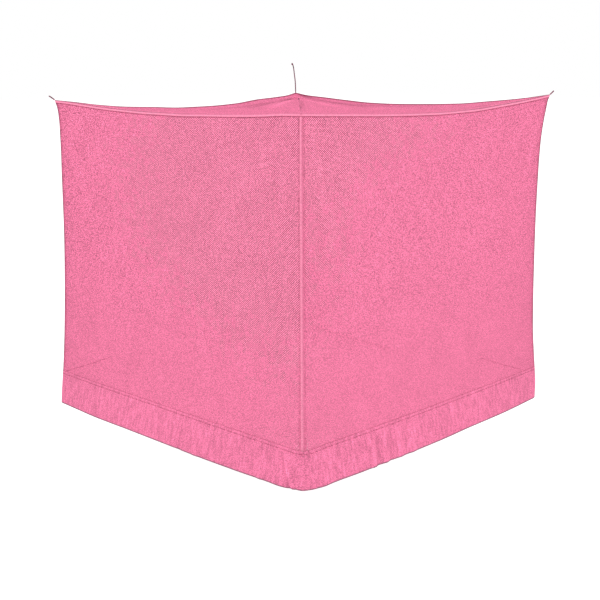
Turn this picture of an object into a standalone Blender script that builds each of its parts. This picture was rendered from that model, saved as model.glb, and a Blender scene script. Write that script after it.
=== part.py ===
"""Box-shaped mosquito net canopy, hung by a tie at each of its four top corners.

Metres, +Z up. The origin is the back left top corner, where the long tie is sewn in. The roof and the four
walls are netting; a plain cloth border runs round the foot, and tape binds the top edges and corner seams.
Cloth depth is counted down a wall from its top edge, 0 to DROP at the hem.
"""

import math

import bmesh
import bpy
import numpy as np

# ---- sizes in metres -----------------------------------------------------------------------------
DROP = 1.800  # top edge to hem
BORDER = 0.208  # height of the plain border
OVERLAP = 0.018  # netting tucked behind the border's stitched top
NET = 0.0012  # thickness of the netting
TAPE = 0.0010  # thickness of the corner tapes
BINDING = 0.0012  # thickness of the binding
BORDER_CLOTH = 0.0014  # thickness of the border
GAP = 0.0004  # between pieces that are sewn together
SEAM_ROUND = 0.010  # radius of the fold at a corner seam
BINDING_DROP = 0.013  # binding's width down the wall
BINDING_END = 0.0003  # a binding's mitred ends stop this far short of the corner
TOP_TRIM = 0.0014  # a wall stops this far under the roof's edge
TIE = 0.006  # diameter of the tie cords

# ---- sizes as shares of a side -------------------------------------------------------------------
TAPE_HALF = (0.0018, 0.0036)  # half and all of a corner tape's width on one wall
BINDING_ROOF = (0.0036, 0.0018)  # all and half of the binding's width on the roof
ROOF_TRIM = 0.0008  # the roof stops this far short of a wall
MITRE_TRIM = 0.00015  # a binding's mitre on the roof stops this far short of the diagonal

# ---- where the canopy hangs ----------------------------------------------------------------------
# corner: x, y, z of its top, and the direction that points out of the canopy there
CORNERS = {
    "front_left": ((0.024, -1.956, 0.003), (-1, -1)),
    "front_right": ((1.993, -1.967, -0.013), (1, -1)),
    "back_right": ((2.006, 0.030, 0.020), (1, 1)),
    "back_left": ((0.000, 0.000, 0.000), (-1, 1)),
}
# wall: the corner at its left end and the one at its right end, seen from outside
WALLS = {
    "front": ("front_left", "front_right"),
    "right": ("front_right", "back_right"),
    "back": ("back_right", "back_left"),
    "left": ("back_left", "front_left"),
}

# Corner seams: how far each runs out of the vertical under its corner.
# Columns: depth, then metres outwards for front_left, front_right, back_right, back_left.
SEAM_ROWS = (
    (0.000, 0.000, 0.000, 0.000, 0.000),
    (0.013, -0.003, -0.002, -0.003, -0.002),
    (0.030, -0.008, -0.008, -0.009, -0.008),
    (0.070, -0.015, -0.016, -0.016, -0.016),
    (0.150, -0.019, -0.024, -0.029, -0.024),
    (0.260, -0.019, -0.029, -0.040, -0.030),
    (0.420, -0.016, -0.031, -0.046, -0.033),
    (0.700, -0.012, -0.030, -0.049, -0.032),
    (1.050, 0.001, -0.026, -0.045, -0.028),
    (1.350, 0.019, -0.026, -0.036, -0.020),
    (1.500, 0.031, -0.030, -0.024, -0.012),
    (1.620, 0.042, -0.036, -0.014, -0.006),
    (1.720, 0.052, -0.042, -0.008, -0.004),
    (1.800, 0.058, -0.047, -0.010, -0.006),
)
# How fast a seam's pull fades along the walls. Columns: depth, power of the share that is left.
FADE_ROWS = ((0.00, 12.0), (0.15, 7.0), (0.45, 4.0), (1.00, 2.4), (1.80, 1.5))
SEAM_COLUMN = {"front_left": 1, "front_right": 2, "back_right": 3, "back_left": 4}
# Columns: depth, then the fold's radius at front_left, front_right, back_right, back_left.
ROUND_ROWS = (
    (0.00, 0.0, 0.0, 0.0, 0.0),
    (0.02, 0.001, 0.001, 0.001, 0.001),
    (0.10, SEAM_ROUND, SEAM_ROUND, SEAM_ROUND, SEAM_ROUND),
    (1.30, SEAM_ROUND, 0.012, SEAM_ROUND, SEAM_ROUND),
    (1.50, 0.014, 0.030, 0.014, 0.014),
    (1.62, 0.030, 0.080, 0.034, 0.030),
    (1.80, 0.060, 0.190, 0.090, 0.070),
)
# Columns: depth, how far a wall stops short of its corner seams.
END_ROWS = ((0.00, 0.0009), (0.04, 0.0009), (0.10, 0.0003))

# Top edges. Columns: share of the way along, then how far the front, right, back, left edge sags.
SAG_ROWS = (
    (0.00, 0.000, 0.000, 0.000, 0.000),
    (0.05, 0.004, 0.006, 0.014, 0.017),
    (0.12, 0.013, 0.014, 0.029, 0.027),
    (0.20, 0.023, 0.023, 0.042, 0.036),
    (0.30, 0.031, 0.034, 0.057, 0.056),
    (0.42, 0.036, 0.044, 0.063, 0.066),
    (0.54, 0.036, 0.050, 0.065, 0.068),
    (0.65, 0.030, 0.049, 0.060, 0.059),
    (0.76, 0.023, 0.038, 0.045, 0.050),
    (0.86, 0.014, 0.025, 0.029, 0.033),
    (0.94, 0.004, 0.012, 0.017, 0.013),
    (1.00, 0.000, 0.000, 0.000, 0.000),
)
# Walls. Columns: depth, then how far the middle of the front, right, back, left walls stands outwards.
BULGE_ROWS = (
    (0.00, -0.030, -0.030, -0.030, -0.030),
    (0.45, -0.032, -0.032, -0.032, -0.032),
    (1.10, -0.024, -0.024, -0.024, -0.020),
    (1.61, -0.002, -0.008, -0.004, 0.006),
    (1.80, 0.014, 0.002, 0.004, 0.024),
)
WALL_COLUMN = {"front": 1, "right": 2, "back": 3, "left": 4}
# Hem. Columns: share of the way along, then how far it rides up on the front, right, back, left walls.
HEM_ROWS = (
    (0.00, 0.018, 0.000, 0.034, 0.006),
    (0.03, 0.018, 0.006, 0.031, 0.007),
    (0.08, 0.016, 0.013, 0.023, 0.008),
    (0.20, 0.011, 0.009, 0.014, 0.010),
    (0.35, 0.013, 0.009, 0.010, 0.010),
    (0.50, 0.012, 0.010, 0.010, 0.012),
    (0.65, 0.009, 0.017, 0.010, 0.012),
    (0.80, 0.010, 0.020, 0.008, 0.012),
    (0.90, 0.013, 0.027, 0.007, 0.014),
    (0.97, 0.009, 0.033, 0.006, 0.017),
    (1.00, 0.000, 0.034, 0.006, 0.018),
)
HEM_FROM = 1.500  # depth from which the cloth follows the hem

ROOF_SAG = 0.022  # how far the roof's middle hangs below the sheet spanned by its four edges
ROOF_EDGE = 0.025  # share of a side over which the creases fade in from an edge
CREASE_SPREAD = 1.2  # how much of its width a crease gains by its end
CREASE_FADE = 0.7  # power of the share that is left
# Roof creases. Columns: start and end (shares of the width and depth from the front left corner), depth
# (a ridge is negative), half width.
ROOF_CREASES = (
    ((0.02, 0.97), (0.42, 0.915), 0.010, 0.022),
    ((0.03, 0.98), (0.085, 0.62), 0.010, 0.022),
    ((0.03, 0.97), (0.24, 0.76), 0.007, 0.020),
    ((0.99, 0.01), (0.60, 0.40), -0.007, 0.018),
    ((0.03, 0.03), (0.18, 0.18), 0.005, 0.022),
    ((0.97, 0.97), (0.82, 0.82), 0.005, 0.022),
)

FOLD_GROWTH = 0.050  # depth over which a border fold reaches its height
# Folds of the border. Columns: wall, share along the wall at the border's top and at the hem, depth at
# which the fold starts, half width, height (a valley is negative).
BORDER_FOLDS = (
    ("front", 0.934, 0.975, 1.615, 0.010, -0.0050),
    ("front", 0.944, 0.982, 1.620, 0.010, 0.0045),
    ("front", 0.974, 0.986, 1.690, 0.008, -0.0040),
    ("front", 0.868, 0.880, 1.630, 0.018, 0.0030),
    ("front", 0.640, 0.632, 1.640, 0.020, 0.0030),
    ("front", 0.560, 0.566, 1.640, 0.020, -0.0030),
    ("right", 0.040, 0.034, 1.630, 0.014, -0.0035),
    ("right", 0.235, 0.232, 1.620, 0.018, 0.0050),
    ("right", 0.257, 0.252, 1.620, 0.014, -0.0050),
    ("right", 0.284, 0.280, 1.630, 0.016, 0.0045),
    ("right", 0.305, 0.300, 1.620, 0.013, -0.0045),
    ("right", 0.335, 0.338, 1.620, 0.022, 0.0045),
    ("right", 0.392, 0.390, 1.620, 0.026, 0.0045),
)

# Ties: root and bends, counted from the corner. Columns: outwards, sideways, up.
TIE_ROUTES = {
    "back_left": (
        (0.0000, 0.0000, 0.0032),
        (0.0003, 0.0010, 0.0450),
        (0.0010, 0.0035, 0.0880),
        (0.0020, 0.0085, 0.1290),
        (0.0030, 0.0125, 0.1630),
        (0.0040, 0.0170, 0.1860),
        (0.0050, 0.0265, 0.2030),
    ),
    "front_left": (
        (0.0037, 0.0000, 0.0030),
        (0.0115, 0.0010, 0.0090),
        (0.0210, 0.0055, 0.0175),
        (0.0315, 0.0165, 0.0260),
    ),
    "front_right": (
        (0.0035, 0.0000, 0.0031),
        (0.0045, -0.0015, 0.0240),
        (0.0070, -0.0055, 0.0460),
        (0.0100, -0.0115, 0.0680),
    ),
    "back_right": (
        (0.0042, 0.0000, 0.0035),
        (0.0110, 0.0020, 0.0085),
        (0.0195, 0.0085, 0.0155),
        (0.0290, 0.0230, 0.0215),
    ),
}

# ---- meshes --------------------------------------------------------------------------------------
# columns of a wall and of the roof: shares from each corner to the middle
NEAR_CORNER = (0.0, *TAPE_HALF, 0.012, 0.026, 0.044, 0.066, 0.095, 0.140, 0.200, 0.290, 0.400, 0.500)
NET_DEPTHS = (0.032, 0.060, 0.100, 0.160, 0.250, 0.380, 0.560, 0.780, 1.020, 1.260, 1.460)
BORDER_DEPTHS = (1.640, 1.680, 1.725, 1.770, 1.800)
# More columns where the border folds. Columns: wall, first share, last share, how many.
BORDER_COLUMNS = (
    ("front", 0.938, 0.952, 2),
    ("front", 0.962, 0.984, 3),
    ("right", 0.034, 0.034, 1),
    ("right", 0.222, 0.278, 5),
    ("right", 0.302, 0.350, 4),
    ("right", 0.370, 0.385, 2),
)
OVER_NET = NET / 2 + GAP  # from the middle of the netting to what is sewn on it
STEP = 0.0005  # for slopes, and to steady the offsets
TIE_STEP = 2.2  # tie diameters from one of its points to the next

# slot: colour, roughness
SLOTS = {
    "netting": ((0.90, 0.22, 0.38), 0.85),
    "border": ((0.90, 0.21, 0.37), 0.80),
    "tape": ((0.95, 0.27, 0.44), 0.75),
    "cord": ((0.50, 0.14, 0.23), 0.80),
}


def read(rows, column, x):
    """A table's column at x, on a smooth curve through its rows that never overshoots them."""
    xs = [row[0] for row in rows]
    ys = [row[column] for row in rows]
    x = min(max(x, xs[0]), xs[-1])
    i = min(max(int(np.searchsorted(xs, x)) - 1, 0), len(xs) - 2)

    def slope(k):
        if k == 0 or k == len(xs) - 1:
            j = min(k, len(xs) - 2)
            return (ys[j + 1] - ys[j]) / (xs[j + 1] - xs[j])
        before = (ys[k] - ys[k - 1]) / (xs[k] - xs[k - 1])
        after = (ys[k + 1] - ys[k]) / (xs[k + 1] - xs[k])
        return 0.0 if before * after <= 0 else 2 * before * after / (before + after)

    width = xs[i + 1] - xs[i]
    u = (x - xs[i]) / width
    rise, fall = u * u * (3 - 2 * u), (1 - u) ** 2 * (1 + 2 * u)
    return fall * ys[i] + rise * ys[i + 1] + width * u * (1 - u) * ((1 - u) * slope(i) - u * slope(i + 1))


def seam(corner, depth):
    """How far a corner's seam has moved in plan at a depth."""
    out = read(SEAM_ROWS, SEAM_COLUMN[corner], depth) / math.sqrt(2)
    return np.array(CORNERS[corner][1]) * out


def corner_round(distance, radius):
    """How far a folded corner's wall has swung out at a distance along it from the seam."""
    reach = radius / math.sqrt(2)
    return math.sqrt(radius**2 - (reach - min(distance, reach)) ** 2) - reach


def border_fold(wall, share, length, depth):
    """Height of the border's own folds."""
    total = 0.0
    for name, top, hem, start, width, height in BORDER_FOLDS:
        if name != wall or depth <= start:
            continue
        down = (depth - (DROP - BORDER)) / BORDER
        x = (share - top - (hem - top) * down) * length / width
        grow = min(1.0, (depth - start) / FOLD_GROWTH)
        total += height * grow * grow * (3 - 2 * grow) * math.exp(-x * x)
    return total


def cloth(wall, share, depth, folds=False):
    """A point of a wall: share 0 to 1 from its left end to its right end, and a depth."""
    left, right = WALLS[wall]
    start, end = np.array(CORNERS[left][0][:2]), np.array(CORNERS[right][0][:2])
    along = end - start
    length = float(np.hypot(*along))
    along /= length
    outwards = np.array((along[1], -along[0]))
    fade = read(FADE_ROWS, 1, depth)
    pull = seam(left, depth) * (1 - share) ** fade + seam(right, depth) * share**fade
    left_round = read(ROUND_ROWS, SEAM_COLUMN[left], depth)
    right_round = read(ROUND_ROWS, SEAM_COLUMN[right], depth)
    swing = corner_round(share * length, left_round) + corner_round((1 - share) * length, right_round)
    swing -= corner_round(length, right_round) * (1 - share) + corner_round(length, left_round) * share
    swing += read(BULGE_ROWS, WALL_COLUMN[wall], depth) * 4 * share * (1 - share)
    if folds:
        swing += border_fold(wall, share, length, depth)
    plan = start + along * share * length + outwards * swing + pull
    top = CORNERS[left][0][2] * (1 - share) + CORNERS[right][0][2] * share
    top -= read(SAG_ROWS, WALL_COLUMN[wall], share)
    low = max(0.0, (depth - HEM_FROM) / (DROP - HEM_FROM))
    rise = read(HEM_ROWS, WALL_COLUMN[wall], share) * low * low * (3 - 2 * low)
    return np.array((*plan, top + (-DROP - top) * depth / DROP + rise))


def unit(vector):
    """The vector at length one."""
    return vector / np.linalg.norm(vector)


def evenly(*normals):
    """The offset that stays one unit away from faces with these normals."""
    faces = np.array(normals)
    return np.linalg.solve(faces.T @ faces + STEP * np.eye(3), faces.sum(axis=0))


def facing(wall, low, high, depth):
    """The direction straight out of a wall between two shares."""
    middle = (low + high) / 2
    above, below = max(depth - STEP, 0), min(depth + STEP, DROP)
    across = cloth(wall, high, depth) - cloth(wall, low, depth)
    down = cloth(wall, middle, below) - cloth(wall, middle, above)
    return unit(np.cross(down, across))


def facings(wall, share, depth):
    """The directions straight out of the cloth on both sides of a column, or of a corner seam."""
    names, columns = list(WALLS), shares()
    here = names.index(wall)
    if share > 0:
        low = facing(wall, max(c for c in columns if c < share), share, depth)
    else:
        low = facing(names[here - 1], columns[-2], 1.0, depth)
    if share < 1:
        high = facing(wall, share, min(c for c in columns if c > share), depth)
    else:
        high = facing(names[(here + 1) % 4], 0.0, columns[1], depth)
    return low, high


def outward(wall, share, depth):
    """The offset out of the cloth at a column of a wall."""
    return evenly(*facings(wall, share, depth))


def roof(width, depth):
    """A point of the roof: shares 0 to 1 from left to right and from front to back."""
    front, back = cloth("front", width, 0), cloth("back", 1 - width, 0)
    left, right = cloth("left", 1 - depth, 0), cloth("right", depth, 0)
    corner = {name: cloth(wall, 0, 0) for wall, (name, _) in WALLS.items()}
    point = front * (1 - depth) + back * depth + left * (1 - width) + right * width
    point -= (1 - width) * (1 - depth) * corner["front_left"] + width * (1 - depth) * corner["front_right"]
    point -= width * depth * corner["back_right"] + (1 - width) * depth * corner["back_left"]
    point[2] -= ROOF_SAG * 16 * width * (1 - width) * depth * (1 - depth)
    here = np.array((width, depth))
    side = float(np.linalg.norm(corner["front_right"] - corner["front_left"]))
    inside = min(1.0, min(width, 1 - width, depth, 1 - depth) / ROOF_EDGE)
    for start, end, low, half in ROOF_CREASES:
        start, end = np.array(start), np.array(end)
        line = end - start
        run = float(np.clip((here - start) @ line / (line @ line), 0, 1))
        off = np.linalg.norm(here - start - line * run) * side / (half * (1 + CREASE_SPREAD * run))
        point[2] -= low * inside * (1 - run) ** CREASE_FADE * math.exp(-off * off)
    return point


def up(width, depth):
    """The direction straight up out of the roof."""
    low_w, high_w = max(width - STEP, 0), min(width + STEP, 1)
    low_d, high_d = max(depth - STEP, 0), min(depth + STEP, 1)
    across = roof(high_w, depth) - roof(low_w, depth)
    back = roof(width, high_d) - roof(width, low_d)
    return unit(np.cross(across, back))


def dress(thing, slot):
    """Give an object its slot's material."""
    material = bpy.data.materials.get(slot)
    if material is None:
        material = bpy.data.materials.new(slot)
        material.use_nodes = True
        colour, roughness = SLOTS[slot]
        shader = material.node_tree.nodes["Principled BSDF"]
        shader.inputs["Base Color"].default_value = (*colour, 1)
        shader.inputs["Roughness"].default_value = roughness
        shader.inputs["Metallic"].default_value = 0
        material.diffuse_color = (*colour, 1)
    thing.data.materials.append(material)


def sheet(name, grid, thickness, slot, ring=False):
    """A closed solid of cloth on a grid of middle points, rows from top to bottom."""
    mesh = bmesh.new()
    rows = [[mesh.verts.new(point) for point in row] for row in grid]
    for above, below in zip(rows, rows[1:]):
        count = len(above)
        for i in range(count if ring else count - 1):
            j = (i + 1) % count
            mesh.faces.new((above[i], below[i], below[j], above[j]))
    thing = finished(name, mesh, slot)
    thick = thing.modifiers.new("cloth", "SOLIDIFY")
    thick.thickness = thickness
    thick.offset = 0
    thick.use_even_offset = True


def layered(name, inside, outside, slot):
    """A closed solid of cloth between two grids of points, rows from top to bottom."""
    mesh = bmesh.new()
    last_row, last = len(inside) - 1, len(inside[0]) - 1
    inner = [[mesh.verts.new(point) for point in row] for row in inside]
    outer = [[mesh.verts.new(point) for point in row] for row in outside]
    for i in range(last_row):
        for j in range(last):
            mesh.faces.new((outer[i][j], outer[i + 1][j], outer[i + 1][j + 1], outer[i][j + 1]))
            mesh.faces.new((inner[i][j], inner[i][j + 1], inner[i + 1][j + 1], inner[i + 1][j]))
    rim = [(0, j) for j in range(last)] + [(i, last) for i in range(last_row)]
    rim += [(last_row, j) for j in range(last, 0, -1)] + [(i, 0) for i in range(last_row, 0, -1)]
    for (i, j), (k, m) in zip(rim, rim[1:] + rim[:1]):
        mesh.faces.new((inner[i][j], outer[i][j], outer[k][m], inner[k][m]))
    finished(name, mesh, slot)


def finished(name, mesh, slot):
    """An object of a mesh, in its slot's material."""
    data = bpy.data.meshes.new(name)
    mesh.to_mesh(data)
    mesh.free()
    thing = bpy.data.objects.new(name, data)
    bpy.context.scene.collection.objects.link(thing)
    dress(thing, slot)
    return thing


def trimmed(row, trim):
    """A row of points whose two ends are moved in along the row."""
    row = [np.array(point) for point in row]
    start, end = unit(row[1] - row[0]) * trim, unit(row[-2] - row[-1]) * trim
    return [row[0] + start, *row[1:-1], row[-1] + end]


def shares(trim=0.0):
    """The columns of a wall or the roof, its two outer ones moved in by the trim."""
    half = list(NEAR_CORNER)
    half[0] = trim
    return half + [1 - share for share in reversed(half[:-1])]


def border_shares(wall):
    """The border's columns on a wall: each share, and the two net columns that it lies between."""
    columns = shares()[:-1]
    placed = [(share, share, share) for share in columns]
    for name, first, last, count in BORDER_COLUMNS:
        if name == wall:
            for share in np.linspace(first, last, count):
                low = max(c for c in columns if c < share)
                high = min(c for c in columns + [1.0] if c > share)
                placed.append((float(share), low, high))
    return sorted(placed)


def border_point(wall, share, low, high, depth):
    """The border's middle: on the net's own facets where they are sewn, and on its own folds below."""
    lift = OVER_NET + BORDER_CLOTH / 2
    if depth > DROP - BORDER + OVERLAP:
        return cloth(wall, share, depth, True) + outward(wall, share, depth) * lift
    if low == high:
        return cloth(wall, share, depth) + outward(wall, share, depth) * lift
    near, far = (border_point(wall, end, end, end, depth) for end in (low, high))
    if high == 1:
        following = list(WALLS)[(list(WALLS).index(wall) + 1) % 4]
        far = border_point(following, 0.0, 0.0, 0.0, depth)
    return near + (far - near) * (share - low) / (high - low)


def tie(name, points):
    """A round cord on a smooth line through its points."""
    knots = np.linspace(0, 1, len(points))
    length = float(np.sum(np.linalg.norm(np.diff(points, axis=0), axis=1)))
    count = round(length / (TIE_STEP * TIE)) + 2
    rows = [(knot, *point) for knot, point in zip(knots, points)]
    curve = bpy.data.curves.new(name, "CURVE")
    curve.dimensions = "3D"
    curve.bevel_depth = TIE / 2
    curve.bevel_resolution = 2
    curve.use_fill_caps = True
    line = curve.splines.new("POLY")
    line.points.add(count - 1)
    for point, t in zip(line.points, np.linspace(0, 1, count)):
        point.co = (*(read(rows, axis, t) for axis in (1, 2, 3)), 1)
    thing = bpy.data.objects.new(name, curve)
    bpy.context.scene.collection.objects.link(thing)
    dress(thing, "cord")


def netting():
    """The four walls and the roof."""
    depths = (TOP_TRIM, BINDING_DROP, *NET_DEPTHS, DROP - BORDER, DROP - BORDER + OVERLAP)
    for wall in WALLS:
        rows = [trimmed([cloth(wall, s, d) for s in shares()], read(END_ROWS, 1, d)) for d in depths]
        sheet(f"{wall}_net", rows, NET, "netting")
    places = shares(ROOF_TRIM)
    sheet("roof_net", [[roof(w, d) for w in places] for d in reversed(places)], NET, "netting")


def border():
    """One length of plain cloth round the foot."""
    rows = []
    for depth in (DROP - BORDER, DROP - BORDER + OVERLAP, *BORDER_DEPTHS):
        columns = [(wall, *column) for wall in WALLS for column in border_shares(wall)]
        rows.append([border_point(*column, depth) for column in columns])
    sheet("bottom_border", rows, BORDER_CLOTH, "border", ring=True)


def corner_tapes():
    """Tape folded over each corner seam, from under the binding to the border."""
    depths = (BINDING_DROP + 2 * GAP, *NET_DEPTHS, DROP - BORDER - 2 * GAP)
    names = list(WALLS)
    for wall, (corner, _) in WALLS.items():
        before = names[names.index(wall) - 1]
        places = [(before, 1 - s) for s in reversed(TAPE_HALF)] + [(wall, s) for s in (0.0, *TAPE_HALF)]
        lift = OVER_NET + TAPE / 2
        rows = [[cloth(w, s, d) + outward(w, s, d) * lift for w, s in places] for d in depths]
        sheet(f"corner_tape_{corner}", rows, TAPE, "tape")


def binding_layer(wall, lift):
    """The binding's points at one height over the cloth: two rows on the roof, the ridge and the foot."""
    on_roof = {
        "front": lambda s, i: (s, i),
        "right": lambda s, i: (1 - i, s),
        "back": lambda s, i: (1 - s, 1 - i),
        "left": lambda s, i: (i, 1 - s),
    }[wall]
    rows = []
    for inset in BINDING_ROOF:
        end = inset + MITRE_TRIM
        places = [on_roof(end + (1 - 2 * end) * s, inset) for s in shares()]
        rows.append([roof(*place) + up(*place) * lift for place in places])
    ridge = []
    for s in shares():
        normals = *facings(wall, s, 0), up(*on_roof(s, ROOF_TRIM))
        ridge.append(cloth(wall, s, 0) + evenly(*normals) * lift)
    foot = [cloth(wall, s, BINDING_DROP) + outward(wall, s, BINDING_DROP) * lift for s in shares()]
    return [*rows, trimmed(ridge, BINDING_END), trimmed(foot, BINDING_END)]


def bindings():
    """Binding folded over each top edge, mitred at the corners."""
    for wall in WALLS:
        inside, outside = (binding_layer(wall, lift) for lift in (OVER_NET, OVER_NET + BINDING))
        layered(f"binding_{wall}", inside, outside, "tape")


def ties():
    """A cord sewn in at each top corner."""
    for corner, route in TIE_ROUTES.items():
        root, (out_x, out_y) = CORNERS[corner]
        out = np.array((out_x, out_y, 0)) / math.sqrt(2)
        side = np.array((-out_y, out_x, 0)) / math.sqrt(2)
        tie(f"tie_{corner}", [np.array(root) + out * o + side * s + np.array((0, 0, z)) for o, s, z in route])


for leftover in list(bpy.data.objects):
    bpy.data.objects.remove(leftover)
netting()
border()
corner_tapes()
bindings()
ties()
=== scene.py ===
"""Looks of a box-shaped mosquito net canopy in pink, hung by a tie at each of its four top corners.

Metres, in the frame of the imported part, and millimetres where a table says so. Depth is counted down a
wall from its top edge.
"""

import math

import bmesh
import bpy
import numpy as np
from mathutils import Matrix, Vector


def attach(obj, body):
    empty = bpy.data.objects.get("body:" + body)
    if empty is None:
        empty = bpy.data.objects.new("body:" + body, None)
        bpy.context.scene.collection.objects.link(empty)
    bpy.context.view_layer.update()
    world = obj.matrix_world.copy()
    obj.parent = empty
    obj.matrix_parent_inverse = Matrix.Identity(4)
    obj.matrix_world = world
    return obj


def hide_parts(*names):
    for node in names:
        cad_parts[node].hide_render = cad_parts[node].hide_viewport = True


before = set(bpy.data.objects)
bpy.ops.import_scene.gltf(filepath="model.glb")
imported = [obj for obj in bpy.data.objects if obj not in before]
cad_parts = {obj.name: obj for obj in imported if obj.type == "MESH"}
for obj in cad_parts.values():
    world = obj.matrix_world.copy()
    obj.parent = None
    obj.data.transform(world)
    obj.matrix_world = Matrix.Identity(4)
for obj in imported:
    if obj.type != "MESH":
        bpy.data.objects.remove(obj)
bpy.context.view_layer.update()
scene = bpy.context.scene

# ---- sizes in metres ----
DROP = 1.8  # top edge to hem
BORDER = 0.208  # height of the plain border
OVERLAP = 0.018  # netting tucked behind the border's stitched top
BORDER_TOP = DROP - BORDER  # depth of the border's top
NET_FOOT = BORDER_TOP + OVERLAP  # depth of the walls' netting, and of the border's seam line
HEM_LAYER = 0.0022  # between the middles of the hem's two layers
OVER_NET = 0.001  # from the middle of the netting to what is sewn on it
NET = 0.0004  # thickness of the netting's thread layer
TAPE = 0.001  # thickness of the corner tapes
BINDING = 0.0012  # thickness of the binding
BORDER_CLOTH = 0.0014  # thickness of the border
BINDING_DROP = 0.013  # binding's width down the wall
BINDING_INSET = 0.0036  # its width on the roof, as a share of a side
TAPE_HALF = 0.0071  # half a corner tape's width
CLEAR = 0.0008  # gap left at a tape's ends
TIE = 0.006  # diameter of the tie cords
WALL_TRIM = 0.0005  # share by which a wall stops short of its corner seams
ROOF_TRIM = 0.0008  # share by which the roof stops short of a wall


def mm(first, rows):
    """Rows with the columns from a first one on turned from millimetres into metres."""
    return [(*row[:first], *(value / 1000 for value in row[first:])) for row in rows]


# ---- where the canopy hangs ----
# Corner: x, y, z of its top, and the direction that points out of the canopy there.
CORNERS = {
    "front_left": ((0.024, -1.956, 0.003), (-1, -1)),
    "front_right": ((1.993, -1.967, -0.013), (1, -1)),
    "back_right": ((2.006, 0.03, 0.02), (1, 1)),
    "back_left": ((0.0, 0.0, 0.0), (-1, 1)),
}
# Wall: the corners at its left and right end, seen from outside.
WALLS = {
    "front": ("front_left", "front_right"),
    "right": ("front_right", "back_right"),
    "back": ("back_right", "back_left"),
    "left": ("back_left", "front_left"),
}
# Corner seams. Columns: depth, then mm outwards for front_left, front_right, back_right, back_left.
SEAM_ROWS = mm(1, (
    (0.0, 0, 0, 0, 0), (0.013, -3, -2, -3, -2), (0.03, -8, -8, -9, -8), (0.07, -15, -16, -16, -16),
    (0.15, -19, -24, -29, -24), (0.26, -19, -29, -40, -30), (0.42, -16, -31, -46, -33),
    (0.7, -12, -30, -49, -32), (1.05, 1, -26, -45, -28), (1.35, 19, -26, -36, -20),
    (1.5, 31, -30, -24, -12), (1.62, 42, -36, -14, -6), (1.72, 52, -42, -8, -4), (1.8, 58, -47, -10, -6),
))
# How fast a seam's pull fades along the walls. Columns: depth, power of the share that is left.
FADE_ROWS = ((0.0, 12.0), (0.15, 7.0), (0.45, 4.0), (1.0, 2.4), (1.8, 1.5))
SEAM_COLUMN = {corner: column for column, corner in enumerate(CORNERS, 1)}
# Folds at the corners. Columns: depth, then the radius in mm at the same four corners.
ROUND_ROWS = mm(1, (
    (0.0, 0, 0, 0, 0), (0.02, 1, 1, 1, 1), (0.1, 10, 10, 10, 10), (1.3, 10, 12, 10, 10),
    (1.5, 14, 30, 14, 14), (1.62, 30, 80, 34, 30), (1.8, 60, 190, 90, 70),
))
# Top edges. Columns: share of the way along, then the sag in mm of the front, right, back, left edge.
SAG_ROWS = mm(1, (
    (0.0, 0, 0, 0, 0), (0.05, 4, 6, 14, 17), (0.12, 13, 14, 29, 27), (0.2, 23, 23, 42, 36),
    (0.3, 31, 34, 57, 56), (0.42, 36, 44, 63, 66), (0.54, 36, 50, 65, 68), (0.65, 30, 49, 60, 59),
    (0.76, 23, 38, 45, 50), (0.86, 14, 25, 29, 33), (0.94, 4, 12, 17, 13), (1.0, 0, 0, 0, 0),
))
# Walls. Columns: depth, then mm outwards at the middle of the front, right, back, left wall.
BULGE_ROWS = mm(1, (
    (0.0, -30, -30, -30, -30), (0.45, -32, -32, -32, -32), (1.1, -24, -24, -24, -20), (1.61, -2, -8, -4, 6),
    (1.8, 14, 2, 4, 24),
))
WALL_COLUMN = {wall: column for column, wall in enumerate(WALLS, 1)}
# Hem. Columns: share of the way along, then the rise in mm on the front, right, back, left wall.
HEM_ROWS = mm(1, (
    (0.0, 18, 0, 34, 6), (0.03, 18, 6, 31, 7), (0.08, 16, 13, 23, 8), (0.2, 11, 9, 14, 10),
    (0.35, 13, 9, 10, 10), (0.5, 12, 10, 10, 12), (0.65, 9, 17, 10, 12), (0.8, 10, 20, 8, 12),
    (0.9, 13, 27, 7, 14), (0.97, 9, 33, 6, 17), (1.0, 0, 34, 6, 18),
))
HEM_FROM = 1.5  # depth from which the cloth follows the hem

ROOF_SAG = 0.022  # how far the roof's middle hangs below the sheet spanned by its four edges
ROOF_EDGE = 0.025  # share of a side over which the creases fade in from an edge
# Roof creases. Columns: start and end (shares of the width and depth from the front left corner), depth
# (a ridge is negative) and half width in mm.
ROOF_CREASES = mm(2, (
    ((0.02, 0.97), (0.42, 0.915), 10, 22), ((0.03, 0.98), (0.085, 0.62), 10, 22),
    ((0.03, 0.97), (0.24, 0.76), 7, 20), ((0.99, 0.01), (0.6, 0.4), -7, 18),
    ((0.03, 0.03), (0.18, 0.18), 5, 22), ((0.97, 0.97), (0.82, 0.82), 5, 22),
))
# Folds of the border. Columns: wall, share along the wall at the border's top and at the hem, depth at
# which the fold starts, half width and height (a valley is negative) in mm.
BORDER_FOLDS = mm(4, (
    ("front", 0.934, 0.975, 1.615, 10, -5), ("front", 0.944, 0.982, 1.62, 10, 4.5),
    ("front", 0.974, 0.986, 1.69, 8, -4), ("front", 0.868, 0.88, 1.63, 18, 3),
    ("front", 0.64, 0.632, 1.64, 20, 3), ("front", 0.56, 0.566, 1.64, 20, -3),
    ("right", 0.04, 0.034, 1.63, 14, -3.5), ("right", 0.235, 0.232, 1.62, 18, 5),
    ("right", 0.257, 0.252, 1.62, 14, -5), ("right", 0.284, 0.28, 1.63, 16, 4.5),
    ("right", 0.305, 0.3, 1.62, 13, -4.5), ("right", 0.335, 0.338, 1.62, 22, 4.5),
    ("right", 0.392, 0.39, 1.62, 26, 4.5),
))
FOLD_GROWS = 0.05  # depth over which such a fold reaches its height
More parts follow.
